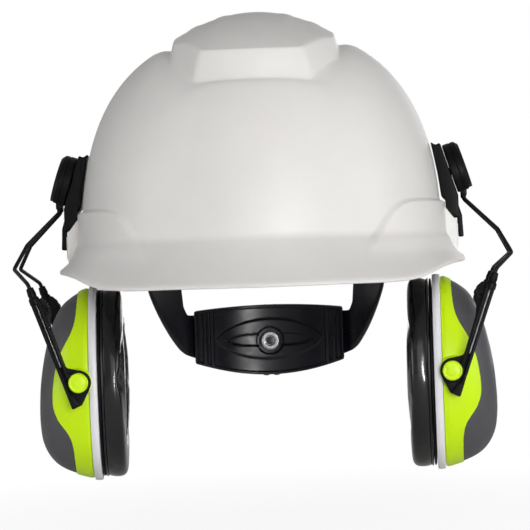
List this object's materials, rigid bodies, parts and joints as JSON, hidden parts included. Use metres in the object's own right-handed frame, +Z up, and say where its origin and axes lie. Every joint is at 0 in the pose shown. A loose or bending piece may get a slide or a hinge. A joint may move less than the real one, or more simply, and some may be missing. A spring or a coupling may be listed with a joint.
{
  "type": "helmet-mounted earmuff hearing protector",
  "caption": "Hard hat with its suspension, and a sprung wire arm on each side that presses a sealed ear cup against the wearer's ear.",
  "frame": {"origin": "midway between the ears, at the height of the shell's side rim, in the middle of the headband", "axes": "+Z up, -Y to the wearer's front, +X to the wearer's left"},
  "size_m": [0.3, 0.2824, 0.2764],
  "materials": {
    "shell": "moulded, soft gloss, warm white",
    "suspension": "moulded, fine grain, black",
    "brow_foam": "soft black sweat cloth over foam",
    "webbing": "woven black webbing",
    "gear_plastic": "smooth, slightly greasy",
    "bright_metal": "plated, dull",
    "arm_plastic": "moulded, fine grain, black",
    "rivet_metal": "black coated",
    "spring_steel": "bright",
    "arm_wire": "black coated spring wire, bright where it slides",
    "cup_frame": "moulded, satin, bright yellow green",
    "cup_cover": "moulded, fine grain, dark grey",
    "spacer": "moulded, satin, light grey",
    "cushion_skin": "smooth glossy black foil over foam",
    "liner_foam": "open cell foam"
  },
  "bodies": {
    "helmet": {"helmet_shell": "shell", "headband": "suspension", "brow_pad": "brow_foam", "left_nape_strap": "suspension", "right_nape_strap": "suspension", "crown_strap_left_front": "webbing", "crown_strap_right_front": "webbing", "suspension_keys": "suspension", "nape_housing_inner": "suspension", "nape_housing_outer": "suspension", "knob_rivet": "bright_metal", "left_slot_bracket": "arm_plastic", "left_hub_rivet": "rivet_metal", "right_slot_bracket": "arm_plastic", "right_hub_rivet": "rivet_metal"},
    "size_knob": {"size_knob": "suspension", "size_pinion": "gear_plastic"},
    "right_rack": {"right_size_rack": "gear_plastic"},
    "left_rack": {"left_size_rack": "gear_plastic"},
    "left_hub": {"left_hub_base": "arm_plastic", "left_hub_cover": "arm_plastic", "left_flip_pin": "spring_steel", "left_flip_spring": "spring_steel"},
    "left_arm": {"left_flip_block": "arm_plastic", "left_front_wire": "arm_wire", "left_rear_wire": "arm_wire"},
    "left_slide": {"left_front_slider": "arm_plastic", "left_rear_slider": "arm_plastic"},
    "left_cup": {"left_cup_cover": "cup_cover", "left_cup_frame": "cup_frame", "left_pivot_buttons": "cup_frame", "left_spacer_ring": "spacer", "left_cushion_plate": "arm_plastic", "left_ear_cushion": "cushion_skin", "left_foam_liner": "liner_foam"},
    "right_hub": {"right_hub_base": "arm_plastic", "right_hub_cover": "arm_plastic", "right_flip_pin": "spring_steel", "right_flip_spring": "spring_steel"},
    "right_arm": {"right_flip_block": "arm_plastic", "right_front_wire": "arm_wire", "right_rear_wire": "arm_wire"},
    "right_slide": {"right_front_slider": "arm_plastic", "right_rear_slider": "arm_plastic"},
    "right_cup": {"right_cup_cover": "cup_cover", "right_cup_frame": "cup_frame", "right_pivot_buttons": "cup_frame", "right_spacer_ring": "spacer", "right_cushion_plate": "arm_plastic", "right_ear_cushion": "cushion_skin", "right_foam_liner": "liner_foam"}
  },
  "joints": [
    {"name": "size_knob_turn", "type": "hinge", "parent": "helmet", "child": "size_knob", "pos_m": [0, 0.107, -0.0504], "axis": [0, 1, 0], "range_deg": [-105, 105]},
    {"name": "right_rack_run", "type": "hinge", "parent": "helmet", "child": "right_rack", "pos_m": [0, 0.037, -0.0504], "axis": [0, 0, 1], "range_deg": [-10.3, 10.3]},
    {"name": "left_rack_run", "type": "hinge", "parent": "helmet", "child": "left_rack", "pos_m": [0, 0.037, -0.0504], "axis": [0, 0, 1], "range_deg": [-10.3, 10.3]},
    {"name": "left_swing", "type": "hinge", "parent": "helmet", "child": "left_hub", "pos_m": [0.12279, -0.00056, 0.053], "axis": [0.9524, -0.0499, 0.3007], "range_deg": [-15, 15]},
    {"name": "left_flip", "type": "hinge", "parent": "left_hub", "child": "left_arm", "pos_m": [0.121, -0.00047, 0.04237], "axis": [-0.0523, -0.9986, 0], "range_deg": [-6, 30]},
    {"name": "left_height", "type": "slide", "parent": "left_arm", "child": "left_slide", "axis": [-0.3333, 0.0175, -0.9426], "range_m": [0, 0.022]},
    {"name": "left_tilt", "type": "hinge", "parent": "left_slide", "child": "left_cup", "pos_m": [0.111, 0.00005, -0.0666], "axis": [-0.0523, -0.9986, 0], "range_deg": [-10, 10]},
    {"name": "right_swing", "type": "hinge", "parent": "helmet", "child": "right_hub", "pos_m": [-0.12279, -0.00056, 0.053], "axis": [-0.9524, -0.0499, 0.3007], "range_deg": [-15, 15]},
    {"name": "right_flip", "type": "hinge", "parent": "right_hub", "child": "right_arm", "pos_m": [-0.121, -0.00047, 0.04237], "axis": [-0.0523, 0.9986, 0], "range_deg": [-6, 30]},
    {"name": "right_height", "type": "slide", "parent": "right_arm", "child": "right_slide", "axis": [0.3333, 0.0175, -0.9426], "range_m": [0, 0.022]},
    {"name": "right_tilt", "type": "hinge", "parent": "right_slide", "child": "right_cup", "pos_m": [-0.111, 0.00005, -0.0666], "axis": [-0.0523, 0.9986, 0], "range_deg": [-10, 10]}
  ],
  "couplings": [
    {"joint": "right_rack_run", "follows": "size_knob_turn", "ratio": -0.092879},
    {"joint": "left_rack_run", "follows": "size_knob_turn", "ratio": 0.092879}
  ]
}
